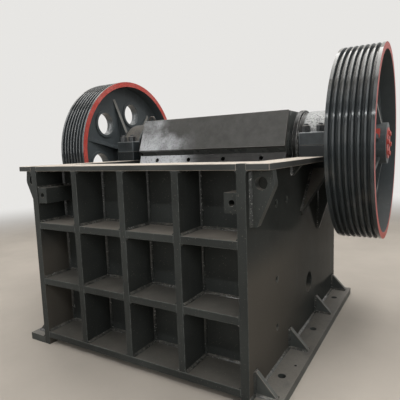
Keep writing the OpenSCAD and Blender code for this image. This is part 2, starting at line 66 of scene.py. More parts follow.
# The shaft's line, from its joint, in metres
AXIS = Vector(next(j["pos_m"] for j in frame["joints"] if j["name"] == "shaft_spin"))


class CrusherSizes(bpy.types.PropertyGroup):
    """Sizes of the small things that finish the machine"""
    rounding: bpy.props.FloatProperty(name="Edge rounding", default=0.0022, unit="LENGTH",
        description="Radius of the rounded edges of plates and castings")
    weld_leg: bpy.props.FloatProperty(name="Weld leg", default=0.010, unit="LENGTH",
        description="Leg of the fillet welds in the cells")
    small_leg: bpy.props.FloatProperty(name="Small weld leg", default=0.009, unit="LENGTH",
        description="Leg of the fillet welds of gussets, lugs and blocks")
    ripple: bpy.props.FloatProperty(name="Weld ripple", default=0.007, unit="LENGTH",
        description="Distance between the ripples of a weld")
    nut_across: bpy.props.FloatProperty(name="Nut width", default=0.037, unit="LENGTH",
        description="Width across the flats of the bearing cap nuts")
    nut_height: bpy.props.FloatProperty(name="Nut height", default=0.031, unit="LENGTH",
        description="Height of the bearing cap nuts")
    clamp_bolts: bpy.props.IntProperty(name="Clamp bolts", default=6, min=3, max=8,
        description="Number of bolts in each clamp ring")
    clamp_head: bpy.props.FloatProperty(name="Clamp bolt heads", default=0.008, unit="LENGTH",
        description="Height of these bolts' heads. The rings are thinner by as much")


class CrusherColours(bpy.types.PropertyGroup):
    """Base colours of the finishes"""
    paint: bpy.props.FloatVectorProperty(name="Paint", subtype="COLOR", default=(0.034, 0.037, 0.035),
        description="Dark grey-green paint of the frame")
    jaw: bpy.props.FloatVectorProperty(name="Jaw paint", subtype="COLOR", default=(0.042, 0.045, 0.043),
        description="Paint of the swing jaw")
    iron: bpy.props.FloatVectorProperty(name="Wheel paint", subtype="COLOR", default=(0.030, 0.035, 0.037),
        description="Blue-grey paint of the wheels and the bearings")
    red: bpy.props.FloatVectorProperty(name="Red", subtype="COLOR", default=(0.42, 0.045, 0.032),
        description="Red paint of the rim faces and clamp rings")
    dust: bpy.props.FloatVectorProperty(name="Dust", subtype="COLOR", default=(0.44, 0.39, 0.33),
        description="Pale dust that lies on upward faces")
    # Partly painted highlight: this pale layer on the caps' tops also stands in for the light on them.
    silver: bpy.props.FloatVectorProperty(name="Cap dust", subtype="COLOR", default=(0.50, 0.50, 0.48),
        description="Mottled pale layer on the bearing caps")
    steel: bpy.props.FloatVectorProperty(name="Steel", subtype="COLOR", default=(0.42, 0.43, 0.44),
        description="Rubbed bright steel")
    scale: bpy.props.FloatVectorProperty(name="Mill scale", subtype="COLOR", default=(0.094, 0.092, 0.085),
        description="Grey rolled surface of the guard plate and clamp bar")
    liner: bpy.props.FloatVectorProperty(name="Liner", subtype="COLOR", default=(0.095, 0.088, 0.080),
        description="Cast manganese steel of the jaw plates")
    rust: bpy.props.FloatVectorProperty(name="Rust", subtype="COLOR", default=(0.12, 0.062, 0.032),
        description="Brown bloom on the cast jaw plates")
    # Painted reflection: this brown is mixed in low down at the front of the side walls, standing in for the floor
    # mirrored in their glossy paint.
    bloom: bpy.props.FloatVectorProperty(name="Bloom", subtype="COLOR", default=(0.100, 0.090, 0.076),
        description="Brown bloom low down on the side walls")
    # Painted highlight: bright specks on the welds that stand in for glints of light on the beads' ripples.
    bead_glint: bpy.props.FloatVectorProperty(name="Spatter", subtype="COLOR", default=(0.46, 0.46, 0.44),
        description="Bright specks on the welds")
    chalk: bpy.props.FloatVectorProperty(name="Chalk", subtype="COLOR", default=(0.55, 0.38, 0.34),
        description="Chalky layer on the red paint")
    oil: bpy.props.FloatVectorProperty(name="Oil", subtype="COLOR", default=(0.16, 0.13, 0.10),
        description="Film of oil and dust on the bright steel")
    eye: bpy.props.FloatVectorProperty(name="Lifting eye", subtype="COLOR", default=(0.05, 0.045, 0.04),
        description="Paint of the jaw's lifting eye")
    # Partly painted light: this pale colour on upward rib faces also stands in for light from above.
    rib: bpy.props.FloatVectorProperty(name="Rib edges", subtype="COLOR", default=(0.20, 0.195, 0.18),
        description="Pale edges of the wheels' ribs and hubs")


class CrusherStage(bpy.types.PropertyGroup):
    """Camera, lamps and floor"""
    camera_at: bpy.props.FloatVectorProperty(name="Camera", subtype="TRANSLATION", unit="LENGTH",
        default=(1.1410, -1.9819, 0.9665), description="Place of the camera")
    azimuth: bpy.props.FloatProperty(name="Azimuth", default=math.radians(30.935), subtype="ANGLE",
        description="Turn of the camera from straight ahead")
    elevation: bpy.props.FloatProperty(name="Elevation", default=math.radians(7.145), subtype="ANGLE",
        description="Downward tilt of the camera")
    roll: bpy.props.FloatProperty(name="Roll", default=math.radians(1.994), subtype="ANGLE",
        description="Roll of the camera")
    lens: bpy.props.FloatProperty(name="Lens", default=35.63, unit="CAMERA",
        description="Focal length on a sensor 36 mm wide")
    floor: bpy.props.FloatVectorProperty(name="Floor", subtype="COLOR", default=(0.50, 0.45, 0.39),
        description="Colour of the floor")
    backdrop: bpy.props.FloatVectorProperty(name="Backdrop", subtype="COLOR", default=(0.80, 0.79, 0.77),
        description="Pale background")


SETTINGS = {"crusher_sizes": CrusherSizes, "crusher_colours": CrusherColours, "crusher_stage": CrusherStage}


def sizes():
    return bpy.context.scene.crusher_sizes


def colours():
    return bpy.context.scene.crusher_colours


# Sockets of the mix node when it mixes colours
MIX_SHARE, MIX_FIRST, MIX_SECOND, MIXED = 0, 6, 7, 2


class Nodes:
    """A node tree, emptied and built anew."""

    def __init__(self, tree):
        self.tree = tree
        tree.nodes.clear()

    def put(self, value, socket):
        """Links a socket, or sets a number, vector or colour."""
        if isinstance(value, bpy.types.NodeSocket):
            self.tree.links.new(value, socket)
        elif hasattr(value, "__len__"):
            socket.default_value = (*value, 1.0)[:len(socket.default_value)]
        else:
            socket.default_value = value

    def node(self, kind, inputs=None, **settings):
        """A new node with these settings, and with its inputs linked or set."""
        node = self.tree.nodes.new(kind)
        for key, value in settings.items():
            setattr(node, key, value)
        for key, value in (inputs or {}).items():
            self.put(value, node.inputs[key])
        return node

    def blend(self, share, a, b):
        """Shader a, with that share of shader b."""
        return self.node("ShaderNodeMixShader", {"Fac": share, 1: a, 2: b}).outputs["Shader"]

    def background_rays(self):
        """1 for the rays that may see the pale background, 0 for those that only carry its light."""
        path = self.node("ShaderNodeLightPath").outputs
        sees = path["Is Camera Ray"]
        for kind in ("Is Glossy Ray", "Is Transmission Ray"):
            sees = self.node("ShaderNodeMath", {0: sees, 1: path[kind]}, operation="MAXIMUM").outputs["Value"]
        return sees


class Finish(Nodes):
    """A procedural material, built node by node round one Principled shader."""

    def __init__(self, name, metallic=0.0):
        self.material = bpy.data.materials.new(name)
        self.material.use_nodes = True
        super().__init__(self.material.node_tree)
        self.shader = self.node("ShaderNodeBsdfPrincipled", {"Metallic": metallic})
        self.surface = self.node("ShaderNodeOutputMaterial").inputs["Surface"]
        self.put(self.shader.outputs["BSDF"], self.surface)
        self.place = self.node("ShaderNodeTexCoord").outputs["Object"]
        self.normal = self.node("ShaderNodeNewGeometry").outputs["Normal"]

    def noise(self, scale, stretch=(1, 1, 1), detail=5.0, roughness=0.6):
        """Noise of that many waves a metre, finer or coarser along each axis by stretch."""
        mapping = self.node("ShaderNodeMapping", {"Vector": self.place, "Scale": stretch})
        return self.node("ShaderNodeTexNoise", {"Vector": mapping.outputs["Vector"], "Scale": scale,
            "Detail": detail, "Roughness": roughness}).outputs["Fac"]

    def spread(self, value, low, high, to_low=0.0, to_high=1.0):
        """The value, spread smoothly from the range low to high onto another."""
        return self.node("ShaderNodeMapRange", {"Value": value, "From Min": low, "From Max": high,
            "To Min": to_low, "To Max": to_high}, interpolation_type="SMOOTHSTEP").outputs["Result"]

    def clouds(self, scale, low=0.3, high=0.7, to_low=0.0, to_high=1.0, **kind):
        """Noise, spread smoothly from the range low to high onto another."""
        return self.spread(self.noise(scale, **kind), low, high, to_low, to_high)

    def join(self, operation, a, b):
        """Two values joined by a sum or a product, kept from 0 to 1."""
        return self.node("ShaderNodeMath", {0: a, 1: b}, operation=operation, use_clamp=True).outputs["Value"]

    def times(self, a, b):
        return self.join("MULTIPLY", a, b)

    def plus(self, a, b):
        return self.join("ADD", a, b)

    def mix(self, share, a, b):
        """Colour a, with that share of colour b."""
        return self.node("ShaderNodeMix", {MIX_SHARE: share, MIX_FIRST: a, MIX_SECOND: b},
            data_type="RGBA").outputs[MIXED]

    def axis(self, source, letter):
        """The X, Y or Z part of a vector."""
        return self.node("ShaderNodeSeparateXYZ", {0: source}).outputs[letter]

    def upward(self, low=0.35, high=0.9):
        """1 on faces that look up, 0 on upright ones."""
        return self.spread(self.axis(self.normal, "Z"), low, high)

    def edge(self):
        """1 on the rounded edges."""
        return self.node("ShaderNodeAttribute", attribute_name="edge").outputs["Fac"]

    def rubbed_edge(self):
        """1 on the rounded edges, less where they are rubbed less."""
        return self.times(self.edge(), self.clouds(45.0, 0.35, 0.65, 0.15, 1.0, detail=4.0))

    def bump(self, height, strength, depth=0.0015):
        """Raises and sinks the surface by up to depth metres, by eye only."""
        node = self.node("ShaderNodeBump", {"Height": height, "Strength": strength, "Distance": depth})
        self.put(node.outputs["Normal"], self.shader.inputs["Normal"])

    def done(self, colour, roughness, sheen=0.5):
        """Sets the surface. sheen is the strength of its reflection: 0.5 is a clear varnish, 0 is none."""
        for key, value in (("Base Color", colour), ("Roughness", roughness), ("Specular IOR Level", sheen)):
            self.put(value, self.shader.inputs[key])
        return self.material


def scaled(colour, factor):
    return [min(1.0, c * factor) for c in colour]


def painted(name, colour, dust=0.35, gloss=0.34, wear=0.5, sheen=0.11, rub=4.2):
    """Satin paint with soft blotches, light runs, dust on upward faces and rubbed edges."""
    f = Finish(name)
    base = f.mix(f.clouds(2.4, detail=3.0), scaled(colour, 0.8), scaled(colour, 1.25))
    runs = f.clouds(26.0, 0.56, 0.78, stretch=(1, 1, 0.09), detail=4.0)
    base = f.mix(f.times(runs, 0.22), base, scaled(colour, 2.3))
    specks = f.clouds(160.0, 0.66, 0.74, detail=2.0)
    base = f.mix(f.times(specks, 0.25), base, colours().dust)
    film = f.times(f.times(f.upward(), f.clouds(9.0, 0.2, 0.8, 0.55, 1.0, detail=8.0)), dust)
    base = f.mix(film, base, colours().dust)
    base = f.mix(f.times(f.rubbed_edge(), wear), base, scaled(colour, rub))
    f.bump(f.noise(210.0, detail=3.0), 0.10)
    return f.done(base, f.plus(f.clouds(7.0, 0.3, 0.7, gloss, gloss + 0.16, detail=6.0), film), sheen)


def beaded(name, colour):
    """Painted weld bead: glossy ripples with bright specks as painted highlights, and dust on top."""
    f = Finish(name)
    base = f.mix(f.clouds(60.0, detail=4.0), scaled(colour, 0.7), scaled(colour, 1.5))
    dusted = f.times(f.upward(0.2, 0.9), f.clouds(30.0, 0.35, 0.7, 0.05, 0.26))
    base = f.mix(dusted, base, colours().dust)
    # Painted highlights: bright specks that stand in for glints of light on the bead's ripples.
    bead_glint = f.times(f.clouds(125.0, 0.60, 0.66, detail=2.0), f.clouds(11.0, 0.42, 0.56, detail=3.0))
    base = f.mix(f.times(bead_glint, 0.6), base, colours().bead_glint)
    f.bump(f.noise(190.0, detail=3.0), 0.2)
    return f.done(base, 0.22, sheen=0.4)


def glossy(name, colour):
    """Smooth dark paint that mirrors a little, with faint runs, and a brown painted reflection of the floor low
    down in front.
    """
    f = Finish(name)
    base = f.mix(f.clouds(3.0, detail=4.0), scaled(colour, 0.85), scaled(colour, 1.2))
    # Painted reflection: the walls turn browner low down and to the front, standing in for the floor that their
    # glossy paint mirrors.
    low_down = f.spread(f.axis(f.place, "Z"), 0.62, 0.45)
    in_front = f.spread(f.axis(f.place, "Y"), -0.6, 0.2, 0.75, 0.0)
    base = f.mix(f.times(low_down, in_front), base, colours().bloom)
    runs = f.clouds(30.0, 0.58, 0.8, stretch=(1, 1, 0.07), detail=4.0)
    base = f.mix(f.times(runs, 0.16), base, scaled(colour, 3.0))
    specks = f.clouds(170.0, 0.68, 0.75, detail=2.0)
    base = f.mix(f.times(specks, 0.2), base, colours().dust)
    base = f.mix(f.times(f.rubbed_edge(), 0.5), base, scaled(colour, 6.0))
    f.bump(f.noise(38.0, detail=2.0), 0.012, depth=0.002)
    return f.done(base, f.clouds(6.0, 0.3, 0.7, 0.08, 0.14, detail=6.0), sheen=0.009)


def dusty(name, colour, dust, cover=0.9):
    """Paint under a layer of pale dust with thinner patches. cover is how closed the layer is."""
    f = Finish(name)
    patches = f.clouds(9.0, 0.30, 0.50, 0.45, 1.0, stretch=(1, 0.5, 1), detail=8.0, roughness=0.7)
    fine = f.clouds(120.0, 0.3, 0.7, 0.75, 1.0, detail=3.0)
    layer = f.times(f.times(f.upward(), patches), f.times(fine, cover))
    base = f.mix(layer, f.mix(f.clouds(5.0), scaled(colour, 0.8), scaled(colour, 1.4)), dust)
    base = f.mix(f.times(f.edge(), 0.4), base, scaled(dust, 0.7))
    f.bump(f.noise(150.0), 0.18)
    return f.done(base, f.spread(layer, 0.0, 0.8, 0.42, 0.85), sheen=0.25)


def cap_finish(name, pale, cover):
    """Blue-grey paint with a mottled pale layer where the cap looks up: partly dust, partly a painted highlight on
    the cap's top.
    """
    f = Finish(name)
    iron = colours().iron
    mottle = f.clouds(100.0, 0.34, 0.60, detail=8.0, roughness=0.75)
    broad = f.clouds(7.0, 0.25, 0.6, 0.55, 1.0, detail=4.0)
    # The pale layer on upward faces is partly dust and partly a painted highlight on the cap's top.
    layer = f.times(f.times(f.times(f.upward(0.12, 0.45), mottle), broad), cover)
    base = f.mix(layer, f.mix(f.clouds(11.0), scaled(iron, 0.85), scaled(iron, 1.7)), pale)
    base = f.mix(f.times(f.edge(), 0.35), base, scaled(iron, 5.0))
    f.bump(f.noise(140.0, detail=6.0), 0.25, depth=0.002)
    return f.done(base, f.spread(layer, 0.0, 0.9, 0.34, 0.6), sheen=0.25)


def turned(name, colour, gloss, wear, sheen, dust=0.3):
    """Dark paint over turned iron: fine rings round the shaft's line, rubbed edges that are partly painted
    highlights, and dust on top that is partly painted light from above.
    """
    f = Finish(name)
    rings = f.clouds(240.0, stretch=(1, 0.015, 0.015), detail=3.0)
    base = f.mix(rings, scaled(colour, 0.75), scaled(colour, 1.6))
    smears = f.clouds(9.0, 0.5, 0.8, detail=6.0)
    base = f.mix(f.times(smears, 0.12), base, colours().dust)
    # The rubbed edges are partly painted highlights: on the lands they stand in for thin lines of light along the
    # rounded edges.
    base = f.mix(f.times(f.edge(), wear), base, scaled(colour, 4.5))
    # The dust on top is partly painted light: it makes the top of the wheels paler, as light from above does.
    base = f.mix(f.times(f.upward(0.3, 1.0), dust), base, colours().dust)
    f.bump(f.noise(60.0, detail=2.0), 0.02, depth=0.001)
    return f.done(base, f.clouds(5.0, 0.3, 0.7, gloss, gloss + 0.08), sheen)


def red_paint(name):
    """Brushed red paint, chalky with dust and thin at its edges."""
    f = Finish(name)
    red = colours().red
    brush = f.clouds(60.0, stretch=(0.2, 1, 1))
    base = f.mix(brush, scaled(red, 0.8), scaled(red, 1.15))
    chalky = f.clouds(8.0, 0.42, 0.78, 0.03, 0.26, detail=7.0, roughness=0.7)
    base = f.mix(chalky, base, colours().chalk)
    base = f.mix(f.times(f.edge(), 0.45), base, scaled(red, 0.45))
    f.bump(f.noise(170.0, detail=3.0), 0.12)
    return f.done(base, 0.46, sheen=0.3)


def rolled(name, colour, bright_from, bright_to, rub=0.8, low_rub=0.20):
    """Grey rolled plate, rubbed bright in patches towards the left end of the jaw and low down; these patches are
    partly rubbed steel and partly a painted reflection of light from the left.
    """
    f = Finish(name)
    # The brightening towards the left end and low down is partly rubbed steel and partly a painted reflection of
    # light from the left.
    near_end = f.spread(f.axis(f.place, "X"), bright_from, bright_to, 1.0, 0.0)
    low_down = f.spread(f.axis(f.place, "Z"), 1.02, 1.12, low_rub, 0.0)
    rubbed = f.plus(f.plus(f.times(near_end, 0.30), low_down), f.noise(5.2, detail=7.0, roughness=0.62))
    patches = f.times(f.spread(rubbed, 0.60, 1.02), f.spread(near_end, 0.0, 0.5))
    pits = f.clouds(95.0, 0.36, 0.50, 0.6, 1.0)
    rubbed_and_reflection = f.times(f.times(patches, pits), rub)
    base = f.mix(f.clouds(17.0, detail=8.0, roughness=0.7), scaled(colour, 0.85), scaled(colour, 1.2))
    base = f.mix(rubbed_and_reflection, base, scaled(colours().steel, 1.35))
    base = f.mix(f.times(f.upward(0.6, 0.95), 0.5), base, colours().dust)
    base = f.mix(f.times(f.edge(), 0.5), base, scaled(colour, 3.5))
    f.bump(f.noise(120.0, detail=6.0), 0.18)
    return f.done(base, f.spread(rubbed_and_reflection, 0.0, 1.0, 0.42, 0.30), sheen=0.2)


def cast(name):
    """Bare cast manganese steel, rough, with a brown bloom and rubbed edges."""
    f = Finish(name)
    liner = colours().liner
    grain = f.clouds(70.0, detail=8.0, roughness=0.7)
    base = f.mix(grain, scaled(liner, 0.7), scaled(liner, 1.4))
    base = f.mix(f.clouds(6.0, 0.45, 0.75, 0.0, 0.45, detail=6.0), base, colours().rust)
    base = f.mix(f.times(f.edge(), 0.55), base, scaled(liner, 2.6))
    f.bump(f.noise(110.0, detail=7.0), 0.35, depth=0.002)
    return f.done(base, f.spread(grain, 0.0, 1.0, 0.5, 0.68))


def bright(name):
    """Turned bright steel with a thin film of oil and dust."""
    f = Finish(name, metallic=0.9)
    steel = colours().steel
    rings = f.noise(700.0, (1, 0.002, 0.002), detail=1.0)
    base = f.mix(f.spread(rings, 0.3, 0.7), scaled(steel, 0.8), scaled(steel, 1.15))
    film = f.clouds(9.0, 0.4, 0.75, 0.0, 0.5, detail=1.0)
    base = f.mix(film, base, colours().oil)
    f.bump(rings, 0.1, depth=0.001)
    return f.done(base, f.spread(film, 0.0, 0.5, 0.26, 0.5))


def blackened(name):
    """Blackened steel nuts and bolts, a little dusty on top."""
    f = Finish(name, metallic=0.3)
    dark, rubbed = (0.022, 0.024, 0.026), (0.06, 0.064, 0.066)
    base = f.mix(f.clouds(90.0, detail=4.0), dark, rubbed)
    base = f.mix(f.times(f.upward(), 0.3), base, colours().dust)
    f.bump(f.noise(260.0, detail=3.0), 0.15, depth=0.001)
    return f.done(base, 0.42)


FINISHES = {}


def make_finishes():
    """Makes every finish. The numbers after scaled() make one of the colours darker or paler."""
    def add(make, name, *colour, **options):
        FINISHES[name] = make(name, *colour, **options)

    c = colours()
    add(painted, "frame_paint", c.paint)
    # Painted light: the back wall of the cells gets a paler copy of the frame paint, making up for the little
    # light that reaches deep into the cells.
    add(painted, "cell_paint", scaled(c.paint, 1.15))
    add(glossy, "wall_paint", c.paint)
    # The upper shelf gets twice the dust of the lower ones: partly dust, and partly painted light, since the upper
    # shelves catch more light.
    add(painted, "shelf_paint", c.paint, dust=0.20)
    add(painted, "upper_shelf_paint", c.paint, dust=0.42)
    add(beaded, "weld_paint", c.paint)
    # The dust on the top flanges is made 1.4 times paler, partly as painted light: it stands in for the grazing
    # light from behind on their tops.
    add(dusty, "dusty_flange", c.paint, scaled(c.dust, 1.4))
    add(dusty, "foot_paint", scaled(c.paint, 1.5), c.dust, cover=0.34)
    # Painted light: the gussets get a paler paint, standing in for the light on their faces that look to the
    # front.
    add(dusty, "gusset_paint", scaled(c.paint, 1.5), c.dust, cover=0.1)
    # Painted light: the swing jaw's paint is made 2.4 times paler, making up for the little light on its side in
    # the shade of the housing.
    add(painted, "jaw_paint", scaled(c.jaw, 2.4), dust=0.5, gloss=0.2, wear=0.8, sheen=0.35, rub=7)
    add(painted, "eye_paint", c.eye, dust=0.5, wear=0.3, sheen=0.2)
    add(painted, "bearing_iron", scaled(c.iron, 0.6), dust=0.7, rub=5.5, sheen=0.2)
    # Painted highlight: the covers' rubbed edges are made very bright against their nearly black paint, standing
    # in for thin arcs of light along their edges.
    add(painted, "cover_iron", scaled(c.silver, 0.02), dust=0.05, gloss=0.2, wear=1.0, sheen=0.12, rub=28)
    add(cap_finish, "cap_right", c.silver, cover=1.0)
    add(cap_finish, "cap_left", scaled(c.dust, 0.33), cover=0.9)
    add(painted, "wheel_iron", scaled(c.iron, 1.9), dust=0.1, gloss=0.4, wear=0.4, sheen=0.2)
    add(turned, "wheel_land", c.iron, gloss=0.07, wear=0.7, sheen=0.34)
    add(turned, "groove_side", c.iron, gloss=0.3, wear=0.0, sheen=0.06, dust=0.22)
    # Painted shade: the groove floors get a darker copy of the wheel paint.
    add(turned, "groove_floor", scaled(c.iron, 0.8), gloss=0.14, wear=0.0, sheen=0.1)
    # Painted highlight: the bores of the web's holes get a paler copy of the wheel paint, standing in for glints
    # of light on their lower faces.
    add(painted, "hole_bore", scaled(c.iron, 3.0), dust=0.1, gloss=0.14, wear=0.3, sheen=0.8)
    # The pale rib edges are partly dust and partly painted light from above.
    add(painted, "rib_edge", c.rib, dust=0.3, gloss=0.5, wear=0.3, rub=1.6, sheen=0.2)
    add(red_paint, "red_paint")
    add(rolled, "guard_steel", scaled(c.scale, 0.62), bright_from=-0.46, bright_to=0.02)
    add(rolled, "bar_steel", scaled(c.scale, 0.25), bright_from=-0.44, bright_to=0.02, rub=1.0,
        low_rub=0.44)
    add(cast, "liner_steel")
    add(bright, "bright_steel")
    add(blackened, "black_steel")


SMALL_FACE = 0.001  # Square metres


def soften(piece, turned_faces=False):
    """Smooth shading that keeps flat faces flat and sharp edges sharp."""
    mesh = piece.data
    mesh.shade_smooth()
    mesh.set_sharp_from_angle(angle=math.radians(42))
    if turned_faces:
        mesh.normals_split_custom_set(turned_normals(mesh))
        return
    weighted = piece.modifiers.new("flat faces", "WEIGHTED_NORMAL")
    weighted.keep_sharp = True


def outward(point):
    """The direction from the shaft's line to a point."""
    return Vector((0, point.y - AXIS.y, point.z - AXIS.z)).normalized()


def turned_normals(mesh):
    """Exact normals for faces turned round the shaft's line and for large flat ones.

    A corner with a normal of zero keeps its own.
    """
    edge = mesh.attributes["edge"].data
    normals = [Vector()] * len(mesh.loops)
    for face in mesh.polygons:
        if edge[face.index].value > 0:
            continue
        out = outward(face.center)
        rise = face.normal.dot(out)
        is_turned = (face.normal - out * rise).yz.length < 0.01
        for i in face.loop_indices:
            if is_turned:
                corner = mesh.vertices[mesh.loops[i].vertex_index].co
                normals[i] = (Vector((face.normal.x, 0, 0)) + outward(corner) * rise).normalized()
            elif face.area > SMALL_FACE:
                normals[i] = face.normal.copy()
    return normals


def piece_from(name, form, body, slot, *finishes, turned_faces=False):
    """A new piece from a bmesh, which rides on a body and wears the finishes."""
    mesh = bpy.data.meshes.new(name)
    form.to_mesh(mesh)
    form.free()
    piece = bpy.data.objects.new(name, mesh)
    bpy.context.scene.collection.objects.link(piece)
    for finish in finishes:
        mesh.materials.append(FINISHES[finish])
    soften(piece, turned_faces)
    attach(piece, body)
    return piece


MERGE = 1e-5
FLAT = math.radians(0.6)
SHARP = math.radians(32)


def node_form(node):
    """A CAD node's shape, with the corners of its triangles merged."""
    form = bmesh.new()
    form.from_mesh(frame["nodes"][node].data)
    bmesh.ops.remove_doubles(form, verts=form.verts, dist=MERGE)
    return form


def rounded_form(node, rounding):
    """The shape of a CAD node with its triangles joined into faces and its edges rounded."""
    form = node_form(node)
    bmesh.ops.dissolve_limit(form, angle_limit=FLAT, verts=form.verts, edges=form.edges)
    layer = form.faces.layers.float.new("edge")
    sharp = [e for e in form.edges if e.is_manifold and e.calc_face_angle() > SHARP]
    made = bmesh.ops.bevel(form, geom=sharp, offset=rounding, offset_type="OFFSET", segments=2,
        profile=0.5, affect="EDGES", clamp_overlap=True)
    for face in made["faces"]:
        face[layer] = 1.0
    bmesh.ops.recalc_face_normals(form, faces=form.faces)
    return form


def finished(node, slot, *finishes, rounding=None, pick=None, turned_faces=False, reshape=None):
    """Stands for a CAD node: its shape with rounded edges. pick gives the finish of each face."""
    form = rounded_form(node, sizes().rounding if rounding is None else rounding)
    if reshape:
        reshape(form)
    if pick:
        for face in form.faces:
            face.material_index = pick(face)
    piece = piece_from(node + ".finished", form, BODY_OF[node], slot, *finishes, turned_faces=turned_faces)
    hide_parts(node)
    return piece


def join_rings(form, rings):
    """Faces between rings of as many points each, and a face on both ends."""
    for one, two in zip(rings, rings[1:]):
        for k in range(len(one)):
            after = (k + 1) % len(one)
            form.faces.new((one[k], one[after], two[after], two[k]))
    form.faces.new(rings[0][::-1])
    form.faces.new(rings[-1])


WELD_STEPS = (0.0, 0.22, 0.5, 0.78, 1.0)  # Points across a weld's face, from one foot to the other


def fillet(form, start, end, along_a, along_b, leg):
    """A rippled fillet weld from start to end, in the corner between two faces."""
    start, end, a, b = Vector(start), Vector(end), Vector(along_a), Vector(along_b)
    count = max(3, round((end - start).length / sizes().ripple * 2))
    rings = []
    for i in range(count + 1):
        spot = start.lerp(end, i / count)
        wander = 0.10 * noise.noise(spot * 23.0) + 0.05 * noise.noise(spot * 90.0)
        size = leg * (1.0 + wander + (0.06 if i % 2 else -0.06))
        ring = [form.verts.new(spot)]
        for t in WELD_STEPS:
            bulge = 0.32 * t * (1 - t)
            ring.append(form.verts.new(spot + size * (a * (1 - t + bulge) + b * (t + bulge))))
        rings.append(ring)
    join_rings(form, rings)


def welds(name, seams):
    """One piece of the frame from a list of seams: start, end, the two face directions and the leg."""
    form = bmesh.new()
    for seam in seams:
        fillet(form, *seam)
    bmesh.ops.recalc_face_normals(form, faces=form.faces)
    return piece_from(name, form, "frame", "frame_paint", "weld_paint")


def turned_form(form, profile, centre, axis, steps, turn=0.0):
    """Adds a closed solid of revolution. Its profile is (along, radius), from one end to the other."""
    to_axis = Vector((0, 0, 1)).rotation_difference(Vector(axis)).to_matrix().to_4x4()
    matrix = Matrix.Translation(centre) @ to_axis
    rings = []
    for along, radius in profile:
        angles = (turn + 2 * math.pi * i / steps for i in range(steps))
        rings.append([form.verts.new(matrix @ Vector((radius * math.cos(t), radius * math.sin(t), along)))
            for t in angles])
    join_rings(form, rings)


def hex_nut(form, centre, axis, across, height, turn=0.0):
    """A hexagon with one chamfered end, standing on centre along the axis."""
    corner = across / math.sqrt(3)
    bevel = 0.12 * across
    turned_form(form, [(0, corner), (height - 0.5 * bevel, corner), (height, corner - bevel)],
        centre, axis, steps=6, turn=turn)


class CrusherOperator(bpy.types.Operator):
    """What the crusher's operators share"""
    bl_options = {"REGISTER", "UNDO"}


PLATES = {
    "front_wall": "cell_paint", "front_ribs": "frame_paint", "upper_shelf": "upper_shelf_paint",
    "lower_shelf": "shelf_paint", "bottom_shelf": "shelf_paint", "rear_wall": "frame_paint",
    "rear_ribs": "frame_paint", "rear_shelves": "frame_paint", "adjusting_block": "frame_paint",
    "drilled_blocks": "frame_paint", "foot_gussets": "gusset_paint", "seat_gussets": "frame_paint",
    "side_wall_left": "wall_paint", "side_wall_right": "wall_paint",
    "lifting_lugs_left": "frame_paint", "lifting_lugs_right": "frame_paint",
    "foot_left": "foot_paint", "foot_right": "foot_paint",
    "top_flange_front": "dusty_flange", "top_flange_left": "dusty_flange",
    "top_flange_right": "dusty_flange",
}


class CRUSHER_OT_plates(CrusherOperator):
    """Finish the plates of the frame"""
    bl_idname = "crusher.plates"
    bl_label = "Frame Plates"

    def execute(self, context):
        for node, finish in PLATES.items():
            slot = "dusty_flange" if finish == "dusty_flange" else "frame_paint"
            if finish == "wall_paint":
                finished(node, slot, finish, "frame_paint", pick=self.side_or_edge)
            else:
                finished(node, slot, finish)
        return {"FINISHED"}

    @staticmethod
    def side_or_edge(face):
        """The first finish on a wall's two sides, the second on its ends and top."""
        return 0 if abs(face.normal.x) > 0.7 else 1


class Cells:
    """The clear spaces between walls, ribs and shelves, read from the frame's nodes."""

    def __init__(self, ribs, front, back, levels):
        self.front, self.back, self.levels = front, back, levels
        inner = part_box("side_wall_right")[0].x
        ribs_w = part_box(ribs)[1].x * 2
        width = inner - ribs_w / 2
        rib = (ribs_w - 2 * width) / 3
        starts = [-inner + i * (width + rib) for i in range(4)]
        self.columns = [(start, start + width) for start in starts]

    def seams(self, leg):
        """Welds round the back of each cell and along its four corners."""
        x, y, z = Vector((1, 0, 0)), Vector((0, 1, 0)), Vector((0, 0, 1))
        front, back = self.front, self.back
        out = y if front > back else -y
        made = []
        for x1, x2 in self.columns:
            for z1, z2 in self.levels:
                made.append(((x1, back, z1), (x2, back, z1), z, out, leg))
                made.append(((x1, back, z2), (x2, back, z2), -z, out, leg))
                made.append(((x1, back, z1), (x1, back, z2), x, out, leg))
                made.append(((x2, back, z1), (x2, back, z2), -x, out, leg))
                for xe, a in ((x1, x), (x2, -x)):
                    for ze, b in ((z1, z), (z2, -z)):
                        made.append(((xe, front, ze), (xe, back, ze), a, b, leg))
        return made


WELD_END = 0.004  # How far the cells' welds stop short of the ribs' outer edges


def front_cells():
    plates = ("bottom_shelf", "lower_shelf", "upper_shelf", "top_flange_front")
    levels = [(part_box(low)[1].z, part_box(high)[0].z) for low, high in zip(plates, plates[1:])]
    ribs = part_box("front_ribs")
    return Cells("front_ribs", ribs[0].y + WELD_END, ribs[1].y, levels)


def rear_cells():
    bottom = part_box("bottom_shelf")
    shelf = bottom[1].z - bottom[0].z
    low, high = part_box("rear_shelves")
    middle = (low.z + high.z) / 2
    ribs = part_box("rear_ribs")
    levels = [(low.z + shelf, middle - shelf / 2), (middle + shelf / 2, high.z - shelf)]
    return Cells("rear_ribs", ribs[1].y - WELD_END, ribs[0].y, levels)


def from_axis(point):
    """Distance of a point from the shaft's line."""
    return math.hypot(point.y - AXIS.y, point.z - AXIS.z)


